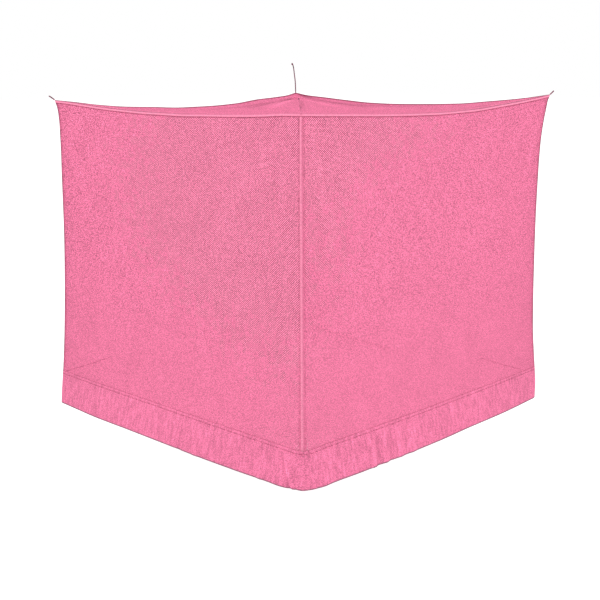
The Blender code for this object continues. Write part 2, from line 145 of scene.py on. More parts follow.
# Ties: root and bends, counted from the corner. Columns: mm outwards, sideways, up.
TIE_ROUTES = {
    "back_left": mm(0, (
        (0, 0, 3.2), (0.3, 1, 45), (1, 3.5, 88), (2, 8.5, 129), (3, 12.5, 163), (4, 17, 186),
        (5, 26.5, 203),
    )),
    "front_left": mm(0, ((3.7, 0, 3), (11.5, 1, 9), (21, 5.5, 17.5), (31.5, 16.5, 26))),
    "front_right": mm(0, ((3.5, 0, 3.1), (4.5, -1.5, 24), (7, -5.5, 46), (10, -11.5, 68))),
    "back_right": mm(0, ((4.2, 0, 3.5), (11, 2, 8.5), (19.5, 8.5, 15.5), (29, 23, 21.5))),
}

# ---- camera ----
LENS, SENSOR = 63.19, 36.0
CAMERA_AT = (5.2829, -5.302, 0.2027)
HEADING, TILT, ROLL = 44.72, 12.675, -0.285  # degrees: to the left of +Y, downwards, about the view

camera = bpy.data.objects.new("camera", bpy.data.cameras.new("camera"))
scene.collection.objects.link(camera)
camera.data.lens, camera.data.sensor_width = LENS, SENSOR
camera.location = CAMERA_AT
turn = Matrix.Rotation(math.radians(HEADING), 4, "Z") @ Matrix.Rotation(math.radians(90 - TILT), 4, "X")
camera.rotation_euler = (turn @ Matrix.Rotation(math.radians(ROLL), 4, "Z")).to_euler()
scene.camera = camera


# ---- the cloth's shape ----
def smooth(x):
    """A smooth step for x from 0 to 1."""
    return x * x * (3 - 2 * x)


def read(rows, column, x):
    """A table's column at x, on a smooth curve through its rows that doesn't overshoot."""
    table = np.asarray(rows, float)
    xs, ys = table[:, 0], table[:, column]
    slopes = np.diff(ys) / np.diff(xs)
    both = slopes[:-1] * slopes[1:]
    inner = np.where(both > 0, 2 * both / np.where(both > 0, slopes[:-1] + slopes[1:], 1), 0)
    slopes = np.concatenate((slopes[:1], inner, slopes[-1:]))
    x = np.clip(x, xs[0], xs[-1])
    i = np.clip(np.searchsorted(xs, x) - 1, 0, len(xs) - 2)
    width = xs[i + 1] - xs[i]
    u = (x - xs[i]) / width
    bend = width * u * (1 - u) * ((1 - u) * slopes[i] - u * slopes[i + 1])
    return ys[i] + smooth(u) * (ys[i + 1] - ys[i]) + bend


def seam(corner, depth):
    """How far a corner's seam has moved in plan at a depth."""
    out = read(SEAM_ROWS, SEAM_COLUMN[corner], depth) / math.sqrt(2)
    return out[..., None] * np.array(CORNERS[corner][1])


def corner_round(distance, radius):
    """How far a wall with a folded corner stands out at a distance from the seam."""
    reach = radius / math.sqrt(2)
    return np.sqrt(np.maximum(radius**2 - (reach - np.minimum(distance, reach)) ** 2, 0)) - reach


def border_fold(wall, share, length, depth):
    """Height of the border's own folds."""
    total = np.zeros_like(share)
    for name, top, hem, start, width, height in BORDER_FOLDS:
        if name == wall:
            down = (depth - BORDER_TOP) / BORDER
            x = (share - top - (hem - top) * down) * length / width
            total += height * smooth(np.clip((depth - start) / FOLD_GROWS, 0, 1)) * np.exp(-x * x)
    return total


def from_line(across, down, start, end):
    """Each place's nearest point on a straight line, as a share of it, and the distance."""
    dx, dy = end[0] - start[0], end[1] - start[1]
    run = np.clip(((across - start[0]) * dx + (down - start[1]) * dy) / (dx * dx + dy * dy), 0, 1)
    return run, np.hypot(across - start[0] - dx * run, down - start[1] - dy * run)


def creases(rows, across, down):
    """Height of straight creases. Rows: start, end, height, half width, all in metres."""
    total = np.zeros_like(across)
    for start, end, height, half in rows:
        run, off = from_line(across, down, start, end)
        off = off / (half * (0.6 + 1.2 * run))
        total += height * np.sin(np.pi * np.clip(run, 0.02, 1) ** 0.5) * np.exp(-off * off)
    return total


def wall_ends(wall):
    """The plan of a wall's two top corners."""
    return [np.array(CORNERS[name][0][:2]) for name in WALLS[wall]]


def wall_length(wall):
    """A wall's length between its top corners."""
    start, end = wall_ends(wall)
    return float(np.hypot(*(end - start)))


def from_corner(wall, share, corner):
    """Metres along a wall from a corner. A wall without that corner counts as a full length away."""
    left, right = WALLS[wall]
    return {left: share, right: 1 - share}.get(corner, np.ones(share.shape)) * wall_length(wall)


def cloth(wall, share, depth, relief=0.0, folds=False):
    """Points of a wall: share 0 to 1 from its left end to its right end, depth, and its fine relief."""
    share, depth = (np.array(x, float) for x in np.broadcast_arrays(share, depth))
    left, right = WALLS[wall]
    start, end = wall_ends(wall)
    length = wall_length(wall)
    along = (end - start) / length
    outwards = np.array((along[1], -along[0]))
    fade = read(FADE_ROWS, 1, depth)
    pull = seam(left, depth) * ((1 - share) ** fade)[..., None]
    pull = pull + seam(right, depth) * (share**fade)[..., None]
    left_round = read(ROUND_ROWS, SEAM_COLUMN[left], depth)
    right_round = read(ROUND_ROWS, SEAM_COLUMN[right], depth)
    swing = corner_round(share * length, left_round) + corner_round((1 - share) * length, right_round)
    swing = swing - corner_round(length, right_round) * (1 - share) - corner_round(length, left_round) * share
    swing += read(BULGE_ROWS, WALL_COLUMN[wall], depth) * 4 * share * (1 - share) + relief
    if folds:
        swing += border_fold(wall, share, length, depth)
    plan = start + along * (share * length)[..., None] + outwards * swing[..., None] + pull
    top = CORNERS[left][0][2] * (1 - share) + CORNERS[right][0][2] * share
    top = top - read(SAG_ROWS, WALL_COLUMN[wall], share)
    low = np.clip((depth - HEM_FROM) / (DROP - HEM_FROM), 0, 1)
    rise = read(HEM_ROWS, WALL_COLUMN[wall], share) * smooth(low)
    return np.concatenate((plan, (top + (-DROP - top) * depth / DROP + rise)[..., None]), axis=-1)


def to_edge(*shares):
    """The least distance of shares from 0 and from 1."""
    return np.minimum.reduce([end for share in shares for end in (share, 1 - share)])


def roof(width, depth, relief=0.0):
    """Points of the roof: shares 0 to 1 from left to right and from front to back."""
    width, depth = (np.array(x, float) for x in np.broadcast_arrays(width, depth))
    front, back = cloth("front", width, 0), cloth("back", 1 - width, 0)
    left, right = cloth("left", 1 - depth, 0), cloth("right", depth, 0)
    corner = {name: cloth(wall, 0, 0) for wall, (name, _) in WALLS.items()}
    w, d = width[..., None], depth[..., None]
    point = front * (1 - d) + back * d + left * (1 - w) + right * w
    point -= (1 - w) * (1 - d) * corner["front_left"] + w * (1 - d) * corner["front_right"]
    point -= w * d * corner["back_right"] + (1 - w) * d * corner["back_left"]
    point[..., 2] -= ROOF_SAG * 16 * width * (1 - width) * depth * (1 - depth)
    inside = np.minimum(1, to_edge(width, depth) / ROOF_EDGE)
    for start, end, low, half in ROOF_CREASES:
        run, off = from_line(width, depth, start, end)
        off = off * wall_length("front") / (half * (1 + 1.2 * run))
        point[..., 2] -= low * inside * (1 - run) ** 0.7 * np.exp(-off * off)
    point[..., 2] += relief * inside
    return point


def unit(vectors):
    """Vectors at length one."""
    return vectors / np.maximum(np.linalg.norm(vectors, axis=-1, keepdims=True), 1e-12)


def lifted(grid, lift, ring=False):
    """A grid of points moved outwards by lift, mitred where its facets meet at an angle."""
    before, after = 2 * grid[:, :1] - grid[:, 1:2], 2 * grid[:, -1:] - grid[:, -2:-1]
    if ring:
        before, after = grid[:, -2:-1], grid[:, 1:2]
    wide = np.concatenate((before, grid, after), axis=1)
    tall = np.concatenate((2 * wide[:1] - wide[1:2], wide, 2 * wide[-1:] - wide[-2:-1]), axis=0)
    faces = unit(np.cross(tall[1:, :-1] - tall[:-1, :-1], tall[:-1, 1:] - tall[:-1, :-1]))
    around = np.stack((faces[:-1, :-1], faces[:-1, 1:], faces[1:, :-1], faces[1:, 1:]), axis=-2)
    square = np.swapaxes(around, -1, -2) @ around + 0.01 * np.eye(3)
    offset = np.linalg.solve(square, around.sum(axis=-2)[..., None])[..., 0]
    return grid + offset * np.asarray(lift)[..., None]


# ---- meshes ----
def placed(name, data, material):
    """A mesh as a smooth piece of the canopy."""
    data.materials.append(material)
    data.polygons.foreach_set("use_smooth", [True] * len(data.polygons))
    piece = bpy.data.objects.new(name, data)
    scene.collection.objects.link(piece)
    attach(piece, "root")
    return piece


def filled(data, mesh):
    """Mesh data with what a bmesh holds, which is freed."""
    mesh.to_mesh(data)
    mesh.free()
    return data


SAME_PLACE = 1e-6  # points closer than this are one


def flattened(values):
    """A grid's values in the order of the mesh's vertices."""
    return np.asarray(values[::-1], np.float32).ravel()


def laid(name, points, flat, material, ring=False, closed=False, thickness=0.0, marks=None):
    """A sheet or tube on a grid of points, with its flat place in metres as UV map and marks per point."""
    rows, columns = points.shape[:2]
    mesh = bmesh.new()
    bmesh.ops.create_grid(mesh, x_segments=columns - 1, y_segments=rows - 1, size=0.5, calc_uvs=False)
    data = filled(bpy.data.meshes.new(name), mesh)
    data.vertices.foreach_set("co", flattened(points))
    corners = np.zeros(len(data.loops), int)
    data.loops.foreach_get("vertex_index", corners)
    place = flattened(flat).reshape(-1, 2)[corners]
    data.uv_layers.new(name="flat").data.foreach_set("uv", place.ravel())
    for title, values in (marks or {}).items():
        data.attributes.new(title, "FLOAT", "POINT").data.foreach_set("value", flattened(values))
    if ring or closed:
        mesh = bmesh.new()
        mesh.from_mesh(data)
        bmesh.ops.remove_doubles(mesh, verts=mesh.verts, dist=SAME_PLACE)
        if closed:
            bmesh.ops.holes_fill(mesh, edges=mesh.edges, sides=0)
            bmesh.ops.recalc_face_normals(mesh, faces=mesh.faces)
        filled(data, mesh)
    piece = placed(name, data, material)
    if thickness:
        thick = piece.modifiers.new("thickness", "SOLIDIFY")
        thick.thickness, thick.offset, thick.use_even_offset = thickness, 0, True
    return piece


def along_path(path):
    """How far along a path each of its points is."""
    return np.concatenate(([0.0], np.cumsum(np.linalg.norm(np.diff(path, axis=0), axis=1))))


def spaced(path, spacing):
    """Points at an even spacing along a path, and the path's direction at each."""
    far = along_path(path)
    spots = np.arange(spacing / 2, far[-1] - spacing / 4, spacing)
    at, ahead, behind = (
        np.stack([np.interp(spots + shift, far, path[:, k]) for k in range(3)], axis=-1)
        for shift in (0.0, spacing / 4, -spacing / 4)
    )
    return at, unit(ahead - behind)


def stitches(name, paths, length, spacing, thick, material, slot="tape"):
    """Sewn stitches along paths, half sunk in the cloth."""
    mesh = bmesh.new()
    bmesh.ops.create_uvsphere(mesh, u_segments=6, v_segments=4, radius=1)
    bmesh.ops.scale(mesh, verts=mesh.verts, vec=(thick / 2, thick / 2, length / 2))
    one = bpy.data.meshes.new("stitch")
    mesh.to_mesh(one)
    mesh.clear()
    shape = np.zeros(3 * len(one.vertices), np.float32)
    one.vertices.foreach_get("co", shape)
    for path in paths:
        for at, ahead in zip(*spaced(path, spacing)):
            one.transform(Matrix.Translation(at) @ Vector(ahead).to_track_quat("Z", "Y").to_matrix().to_4x4())
            mesh.from_mesh(one)
            one.vertices.foreach_set("co", shape)
    bpy.data.meshes.remove(one)
    placed(name, filled(bpy.data.meshes.new(name), mesh), material)


# ---- materials ----
def add(tree, kind, **settings):
    """A node with its settings."""
    node = tree.nodes.new(kind)
    for key, value in settings.items():
        setattr(node, key, value)
    return node


def join(tree, value, socket):
    """A value or a link into a socket."""
    if isinstance(value, bpy.types.NodeSocket):
        tree.links.new(value, socket)
    else:
        socket.default_value = value


def calc(tree, operation, *values):
    """A Math node on values or links."""
    node = add(tree, "ShaderNodeMath", operation=operation)
    for value, socket in zip(values, node.inputs):
        join(tree, value, socket)
    return node.outputs[0]


def times(tree, product, *others):
    """Values or links multiplied."""
    for value in others:
        product = calc(tree, "MULTIPLY", product, value)
    return product


def ramp(tree, value, low, high, out_low=0.0, out_high=1.0):
    """A smooth step from one value to another."""
    node = add(tree, "ShaderNodeMapRange", interpolation_type="SMOOTHSTEP")
    for x, socket in zip((value, low, high, out_low, out_high), node.inputs):
        join(tree, x, socket)
    return node.outputs[0]


def noise(tree, place, scale, detail=2.0, dimensions="3D"):
    """Noise around 0.5."""
    node = add(tree, "ShaderNodeTexNoise", noise_dimensions=dimensions)
    values = {"W" if dimensions == "1D" else "Vector": place, "Scale": scale, "Detail": detail}
    for title, value in values.items():
        join(tree, value, node.inputs[title])
    return node.outputs["Fac"]


def blend(tree, share, first, second):
    """A colour between two colours."""
    node = add(tree, "ShaderNodeMix", data_type="RGBA")
    join(tree, share, node.inputs["Factor"])
    for colour, socket in ((first, node.inputs[6]), (second, node.inputs[7])):
        join(tree, colour if isinstance(colour, bpy.types.NodeSocket) else (*colour, 1), socket)
    return node.outputs[2]


def painted(tree, colour, over, *shares):
    """A colour with another one over it, as much as the product of the shares."""
    return blend(tree, times(tree, *shares), colour, over)


def effect(name, numbers, results, places=()):
    """A node group with named inputs and outputs."""
    tree = bpy.data.node_groups.new(name, "ShaderNodeTree")
    sockets = [(title, "INPUT", "NodeSocketVector") for title in places]
    sockets += [(title, "INPUT", "NodeSocketFloat") for title in numbers]
    sockets += [(title, "OUTPUT", "NodeSocketFloat") for title in results]
    for title, way, kind in sockets:
        tree.interface.new_socket(title, in_out=way, socket_type=kind)
    return tree, add(tree, "NodeGroupInput").outputs, add(tree, "NodeGroupOutput").inputs


def use(tree, group, **values):
    """A node group placed in a material with its own values."""
    node = add(tree, "ShaderNodeGroup", node_tree=group)
    for title, value in values.items():
        join(tree, value, node.inputs[title])
    return node.outputs


def diamond_mesh():
    """Knitted threads that cross on the slant: 1 on a thread, 0 in a hole, and a random value per hole."""
    numbers = ("Along", "Down", "Width", "Height", "Thread", "Softness")
    tree, given, made = effect("diamond mesh", numbers, ("Threads", "Hole Value"))
    x = calc(tree, "DIVIDE", given["Along"], given["Width"])
    y = calc(tree, "DIVIDE", given["Down"], given["Height"])
    rising, falling = calc(tree, "ADD", x, y), calc(tree, "SUBTRACT", x, y)
    near = calc(tree, "MINIMUM", *(calc(tree, "PINGPONG", line, 0.5) for line in (rising, falling)))
    low, high = (calc(tree, way, given["Thread"], given["Softness"]) for way in ("SUBTRACT", "ADD"))
    join(tree, ramp(tree, near, low, high, 1.0, 0.0), made["Threads"])
    number = add(tree, "ShaderNodeCombineXYZ")
    join(tree, calc(tree, "FLOOR", rising), number.inputs["X"])
    join(tree, calc(tree, "FLOOR", falling), number.inputs["Y"])
    value = add(tree, "ShaderNodeTexWhiteNoise", noise_dimensions="2D")
    join(tree, number.outputs[0], value.inputs["Vector"])
    join(tree, value.outputs["Value"], made["Hole Value"])
    return tree


GRAIN_STRETCH = (0.72, 1.0, 1.0)  # the yarn's uneven spots are longer along the cloth than down it
GRAIN_TURN = (0.62, 0.91, 0.44)  # turns the spots out of line with the cloth
BROAD_SCALE = 6.0  # broad patches per metre
DARKEST_GRAIN = 0.05


def yarn_grain():
    """Uneven yarn: a shade around 1 that varies in small and in broad patches."""
    tree, given, made = effect("yarn grain", ("Size", "Fine", "Broad"), ("Shade",), places=("Place",))
    scale = calc(tree, "DIVIDE", 1.0, given["Size"])
    drawn = add(tree, "ShaderNodeVectorMath", operation="MULTIPLY")
    drawn.inputs[1].default_value = GRAIN_STRETCH
    join(tree, given["Place"], drawn.inputs[0])
    turned = add(tree, "ShaderNodeVectorRotate", rotation_type="EULER_XYZ")
    turned.inputs["Rotation"].default_value = GRAIN_TURN
    join(tree, drawn.outputs[0], turned.inputs["Vector"])
    fine = noise(tree, turned.outputs[0], scale, detail=0.0)
    broad = noise(tree, given["Place"], BROAD_SCALE, detail=3.0)
    one = times(tree, calc(tree, "SUBTRACT", fine, 0.5), given["Fine"])
    other = times(tree, calc(tree, "SUBTRACT", broad, 0.5), given["Broad"])
    shade = calc(tree, "ADD", calc(tree, "ADD", one, other), 1.0)
    join(tree, calc(tree, "MAXIMUM", shade, DARKEST_GRAIN), made["Shade"])
    return tree


def plain_weave():
    """Threads over and under each other: the height of a plain weave."""
    tree, given, made = effect("plain weave", ("Along", "Down", "Pitch"), ("Height",))
    turn = calc(tree, "DIVIDE", math.pi, given["Pitch"])
    warp, weft = (calc(tree, "SINE", times(tree, given[way], turn)) for way in ("Along", "Down"))
    join(tree, calc(tree, "MULTIPLY_ADD", times(tree, warp, weft), 0.5, 0.5), made["Height"])
    return tree


def sewn_line():
    """A soft line along the cloth, broken into dashes: 1 on the line."""
    numbers = ("Across", "Along", "Middle", "Half", "Dash", "Gaps")
    tree, given, made = effect("sewn line", numbers, ("Line",))
    off = calc(tree, "ABSOLUTE", calc(tree, "SUBTRACT", given["Across"], given["Middle"]))
    low, high = (times(tree, given["Half"], share) for share in (0.5, 1.3))
    line = ramp(tree, off, low, high, 1.0, 0.0)
    dash = noise(tree, calc(tree, "DIVIDE", given["Along"], given["Dash"]), 1.0, detail=0.0, dimensions="1D")
    keep = ramp(tree, dash, 0.4, 0.6, calc(tree, "SUBTRACT", 1.0, given["Gaps"]), 1.0)
    join(tree, times(tree, line, keep), made["Line"])
    return tree


DIAMOND, GRAIN, WEAVE, SEWN = diamond_mesh(), yarn_grain(), plain_weave(), sewn_line()
NET_GRAIN, SLANT_GRAIN, BORDER_GRAIN = 2.4, 1.3, 1.4  # how strongly the yarn's shade varies
HOLES = {"Width": 0.0024, "Height": 0.0021, "Softness": 0.05}  # the netting's own mesh
SLANTS = {"Width": 0.0133, "Height": 0.0107, "Thread": 0.15, "Softness": 0.1}  # threads seen from afar
SLANT_UNEVEN = 0.4  # how much the holes between them differ in darkness
SLANT_CLUMPS = 0.5  # how much their strength changes from place to place
OPEN_AT_SEAMS, CLOSED = 0.36, 0.405  # thread's half width near a seam and elsewhere, as a share of the mesh
TUCKED_SHADE = 0.2  # how much darker the netting is behind the border
HEM_BAND = (DROP - 0.008, DROP - 0.003)  # depths between which the hem's edge is painted darker, partly its thread and partly painted shade

NET_PINK = (0.588, 0.139, 0.247)
NET_LIGHT = (0.94, 0.278, 0.435)
NET_DARK = (0.12, 0.012, 0.034)
BORDER_PINK = (0.592, 0.138, 0.25)
# painted highlight: the light stripe on the lit tapes and the light band on the bindings
TAPE_HIGHLIGHT = (0.715, 0.215, 0.33)
# the lit tapes' ground, and a darker copy of it as painted shade for the shaded tapes
TAPE_GROUND = (0.62, 0.155, 0.265)
TAPE_SHADED = (0.3, 0.065, 0.12)
# painted shade: the shaded tapes' dark middle and the pink cord's hollows and darker spots
TAPE_MAUVE = (0.16, 0.034, 0.068)
# dark of seams, stitching and doubled netting, and of painted shade lines such as under the binding and in
# seams' grooves
SEAM_AND_SHADE_DARK = (0.28, 0.038, 0.085)
# the hem's dark edge, partly its thread and partly painted shade, and the painted shade on the bindings'
# ridge
EDGE_MAUVE = (0.23, 0.09, 0.13)
THREAD_DARK = (0.28, 0.04, 0.09)
THREAD_PINK = (0.62, 0.16, 0.28)
# the dark cord's painted shade in its hollows, and its darker spots
CORD_MAUVE = (0.045, 0.005, 0.016)
CORD_LIGHT = (0.17, 0.028, 0.062)
SHEEN_TINT = (1.0, 0.55, 0.7, 1)


def sewn(tree, across, along, middle, half, dash, gaps):
    """A dashed line, for seams and for painted shade: places across and along it, its middle, half width,
    dash length and gaps (0 to 1).
    """
    given = {"Across": across, "Along": along, "Middle": middle, "Half": half, "Dash": dash, "Gaps": gaps}
    return use(tree, SEWN, **given)[0]


def grain(tree, place, size, fine, broad):
    """The yarn's shade: the size of its spots, and how strong these and the broad patches are."""
    return use(tree, GRAIN, Place=place, Size=size, Fine=fine, Broad=broad)[0]


def new_material(name, values):
    """A material, its tree and its shader. Values: the shader's inputs by name."""
    material = bpy.data.materials.new(name)
    material.use_nodes = True
    shader = material.node_tree.nodes["Principled BSDF"]
    for title, value in values.items():
        shader.inputs[title].default_value = value
    return material, material.node_tree, shader


def cloth_material(name, roughness, sheen, gloss=0.2):
    """A fabric's material, tree and shader, and the flat place on it: whole, along and down."""
    values = {"Roughness": roughness, "Specular IOR Level": gloss, "Sheen Weight": sheen}
    material, tree, shader = new_material(name, {**values, "Sheen Tint": SHEEN_TINT})
    flat = add(tree, "ShaderNodeUVMap", uv_map="flat").outputs[0]
    parts = add(tree, "ShaderNodeSeparateXYZ")
    join(tree, flat, parts.inputs[0])
    return material, tree, shader, flat, parts.outputs["X"], parts.outputs["Y"]


def coloured(tree, shader, colour, *shades):
    """A colour times shades, into the shader."""
    node = add(tree, "ShaderNodeVectorMath", operation="SCALE")
    join(tree, colour, node.inputs[0])
    join(tree, times(tree, *shades), node.inputs["Scale"])
    join(tree, node.outputs[0], shader.inputs["Base Color"])


def mark(tree, name):
    """A value kept at each point of a piece."""
    return add(tree, "ShaderNodeAttribute", attribute_name=name).outputs["Fac"]


def raised(tree, shader, height, distance, strength):
    """A height into the shader's normal."""
    bump = add(tree, "ShaderNodeBump")
    for title, value in (("Strength", strength), ("Distance", distance), ("Height", height)):
        join(tree, value, bump.inputs[title])
    join(tree, bump.outputs[0], shader.inputs["Normal"])


# Faint slanting lines low on the near walls. Columns: start and end (metres along and down; the right wall
# starts at 2 m), half width, amount.
FAINT_LINES = (
    ((0.01, 1.6), (0.48, 1.402), 0.003, 0.6),
    ((3.44, 1.412), (3.92, 1.604), 0.003, 0.5),
    ((2.05, 0.972), (2.18, 1.03), 0.006, 0.24),
    ((2.16, 1.022), (2.74, 1.236), 0.009, 0.15),
)


def faint_line(tree, along, down, start, end, half, amount):
    """How much of a faint broken line between two places shows."""
    slope = (end[1] - start[1]) / (end[0] - start[0])
    off = calc(tree, "SUBTRACT", down, calc(tree, "MULTIPLY_ADD", along, slope, start[1] - slope * start[0]))
    line = sewn(tree, off, along, 0.0, half, 0.04, 0.6)
    begun = ramp(tree, along, start[0], start[0] + 0.03)
    ended = ramp(tree, along, end[0] - 0.1, end[0], 1.0, 0.0)
    return times(tree, line, begun, ended, amount)


def netting_material():
    """Fine knitted netting: small holes, slanting threads that show from afar, doubled along its seams, with
    a painted shadow line under the binding and painted shade on its folds.
    """
    material, tree, shader, flat, along, down = cloth_material("netting", 0.9, 0.0, gloss=0.04)
    edge = mark(tree, "edge")
    tight = ramp(tree, edge, 0.1, 0.55, OPEN_AT_SEAMS, CLOSED)
    holes = use(tree, DIAMOND, Along=along, Down=down, Thread=tight, **HOLES)["Threads"]
    slant = use(tree, DIAMOND, Along=along, Down=down, **SLANTS)
    patch = calc(tree, "SUBTRACT", noise(tree, flat, 22.0, detail=1.0, dimensions="2D"), 0.5)
    shown = calc(tree, "MULTIPLY_ADD", patch, SLANT_CLUMPS, mark(tree, "slant"))
    uneven = calc(tree, "MULTIPLY_ADD", slant["Hole Value"], SLANT_UNEVEN, 1.0 - SLANT_UNEVEN / 2)
    threads = blend(tree, slant["Threads"], NET_DARK, NET_LIGHT)
    colour = painted(tree, NET_PINK, threads, ramp(tree, shown, 0.27, 0.42, 0.04, 0.85), uneven)
    doubled = sewn(tree, edge, down, 0.015, 0.007, 0.06, 0.5)
    # painted shadow: a dark line on the netting just below the binding
    under = sewn(tree, down, along, 0.0155, 0.0022, 0.03, 0.35)
    tucked, on_wall = ramp(tree, down, BORDER_TOP - 0.003, BORDER_TOP), calc(tree, "LESS_THAN", down, DROP)
    lines = [(doubled, mark(tree, "doubled")), (under, 0.65)]
    lines += [(faint_line(tree, along, down, *row),) for row in FAINT_LINES]
    for shares in (*lines, (tucked, on_wall, TUCKED_SHADE)):
        colour = painted(tree, colour, SEAM_AND_SHADE_DARK, *shares)
    strength = times(tree, mark(tree, "grain"), NET_GRAIN)
    fine = grain(tree, flat, 0.0042, strength, 0.16)
    soft = grain(tree, flat, 0.005, SLANT_GRAIN, 0.16)
    plain = ramp(tree, shown, 0.24, 0.4, 1.0, 0.0)
    shade = calc(tree, "MULTIPLY_ADD", calc(tree, "SUBTRACT", fine, soft), plain, soft)
    # painted shade from the mark laid on each wall and on the roof
    coloured(tree, shader, colour, shade, mark(tree, "painted_shade"))
    closed = ramp(tree, edge, 0.012, 0.014, 1.0, 0.0)
    join(tree, calc(tree, "MAXIMUM", holes, closed), shader.inputs["Alpha"])
    raised(tree, shader, holes, 0.0003, 0.5)
    return material


def border_material():
    """Plain woven cloth with a turned hem whose edge is darker, partly its thread and partly painted shade,
    and a seam line under its stitched top, dark as thread and as painted shade in its groove.
    """
    material, tree, shader, flat, along, down = cloth_material("border cloth", 0.85, 0.04, gloss=0.1)
    shade = grain(tree, flat, 0.0038, BORDER_GRAIN, 0.2)
    stretched = add(tree, "ShaderNodeMapping")
    stretched.inputs["Scale"].default_value = (1.0, 0.16, 1.0)
    join(tree, flat, stretched.inputs["Vector"])
    streak = grain(tree, stretched.outputs[0], 0.01, 0.48, 0.0)
    # the seam line: partly its thread, partly painted shade in its groove
    line = sewn(tree, down, along, NET_FOOT, 0.0022, 0.016, 0.75)
    upper = sewn(tree, down, along, BORDER_TOP, 0.0016, 0.02, 0.9)
    colour = painted(tree, BORDER_PINK, SEAM_AND_SHADE_DARK, line, 0.9)
    colour = painted(tree, colour, SEAM_AND_SHADE_DARK, upper, 0.15)
    colour = painted(tree, colour, EDGE_MAUVE, ramp(tree, down, *HEM_BAND), 0.95)
    # painted shade of the border's folds and corners, from its mark
    coloured(tree, shader, colour, shade, streak, mark(tree, "painted_shade"))
    weave = use(tree, WEAVE, Along=along, Down=down, Pitch=0.0009)[0]
    raised(tree, shader, weave, 0.00025, 0.6)
    return material


def tape_material(name, ground, *lines):
    """Woven tape with painted lines of highlight, painted shade and seams. Lines along it: colour, middle,
    half width, amount at its start and far on, gaps.
    """
    material, tree, shader, flat, along, down = cloth_material(name, 0.8, 0.08)
    colour = ground
    for line_colour, middle, half, amount, amount_far, gaps in lines:
        line = sewn(tree, along, down, middle, half, 0.02, gaps)
        colour = painted(tree, colour, line_colour, line, ramp(tree, down, 0.5, 1.5, amount, amount_far))
    coloured(tree, shader, colour, grain(tree, flat, 0.004, 0.6, 0.1))
    weave = use(tree, WEAVE, Along=along, Down=down, Pitch=0.001)[0]
    raised(tree, shader, weave, 0.0003, 0.7)
    return material


def cord_material(name, light, dark):
    """Twisted cord: the strands are in the mesh, the hollows between them get painted shade, and it has
    darker spots of its own.
    """
    material, tree, shader, flat, _, _ = cloth_material(name, 0.75, 0.2)
    # painted shade in the hollows between strands, and darker spots of the cord's own
    hollow_shade_and_spots = calc(tree, "MAXIMUM", mark(tree, "hollow"), ramp(tree, noise(tree, flat, 45.0), 0.48, 0.62))
    shade = grain(tree, flat, 0.0008, 0.5, 0.1)
    coloured(tree, shader, blend(tree, hollow_shade_and_spots, light, dark), shade)
    raised(tree, shader, noise(tree, flat, 1800.0), 0.0002, 0.6)
    return material


def thread_material(name, colour):
    """Sewing thread."""
    material, tree, shader = new_material(name, {"Roughness": 0.6, "Sheen Weight": 0.1})
    place = add(tree, "ShaderNodeTexCoord").outputs["Object"]
    coloured(tree, shader, colour, grain(tree, place, 0.0015, 0.4, 0.15))
    return material


NETTING, BORDER_CLOTHING = netting_material(), border_material()
CORD = cord_material("tie cord", CORD_LIGHT, CORD_MAUVE)
PINK_CORD = cord_material("pink tie cord", NET_PINK, TAPE_MAUVE)
DARK_THREAD = thread_material("dark thread", THREAD_DARK)
PINK_THREAD = thread_material("pink thread", THREAD_PINK)


# ---- ties ----
OFF_AXIS = (0.31, 0.92, 0.24)  # a direction that no cord follows
TIE_STEP = 0.0008  # between the points of a tie's line
TIE_TAPER = 0.004  # length over which its free end thins
TIE_END = 0.55  # thickness left at the free end, as a share
CORD_TWIST, CORD_STRANDS = 0.011, 3  # length of a turn, number of strands
KNOT_AT = 0.93  # the knot's place along the long tie
KNOT_SIZE, KNOT_CORD = 0.0016, 0.0021  # the knot's scale and its cord's radius
WRAPS, WRAP_HEIGHT, WRAP_RADIUS = 4, 0.0045, 0.0031  # thread wound round a tie's root
WRAP_THREAD, WRAP_TWIST = 0.0006, 0.004  # its radius and the length of a turn


def swept(path, radius, twist, strands, around=18):
    """Rings of points round a path, lobed like twisted strands, and how far each is in a hollow."""
    ahead = unit(np.gradient(path, axis=0))
    side = np.zeros_like(path)
    side[0] = unit(np.cross(ahead[0], OFF_AXIS))
    for i in range(1, len(path)):
        side[i] = unit(side[i - 1] - ahead[i] * (side[i - 1] @ ahead[i]))
    other = np.cross(ahead, side)
    angle = np.linspace(0, 2 * np.pi, around + 1)[None, :]
    phase = strands * (angle - (along_path(path) / twist * 2 * np.pi)[:, None])
    lobe = np.abs(np.cos(phase / 2))
    reach = np.broadcast_to(np.asarray(radius, float), len(path))[:, None] * (0.97 + 0.26 * lobe)
    points = path[:, None] + side[:, None] * (reach * np.cos(angle))[..., None]
    points = points + other[:, None] * (reach * np.sin(angle))[..., None]
    points[:, -1] = points[:, 0]
    return points, 1 - np.clip(lobe * 1.6, 0, 1)


def rope(name, path, radius, material):
    """A twisted cord along a path."""
    points, hollow = swept(path, radius, CORD_TWIST, CORD_STRANDS)
    flat = np.stack(np.meshgrid(np.linspace(0, np.pi * TIE, points.shape[1]), along_path(path)), axis=-1)
    return laid(name, points, flat, material, closed=True, marks={"hollow": hollow})


def tie_path(corner):
    """The line of a tie, from its root to its free end."""
    root, (out_x, out_y) = CORNERS[corner]
    out = np.array((out_x, out_y, 0)) / math.sqrt(2)
    side = np.array((-out_y, out_x, 0)) / math.sqrt(2)
    points = [np.array(root) + out * o + side * s + np.array((0, 0, z)) for o, s, z in TIE_ROUTES[corner]]
    rows = [(share, *point) for share, point in zip(np.linspace(0, 1, len(points)), points)]
    t = np.linspace(0, 1, int(along_path(np.array(points))[-1] / TIE_STEP))
    return np.stack([read(rows, axis, t) for axis in (1, 2, 3)], axis=-1)


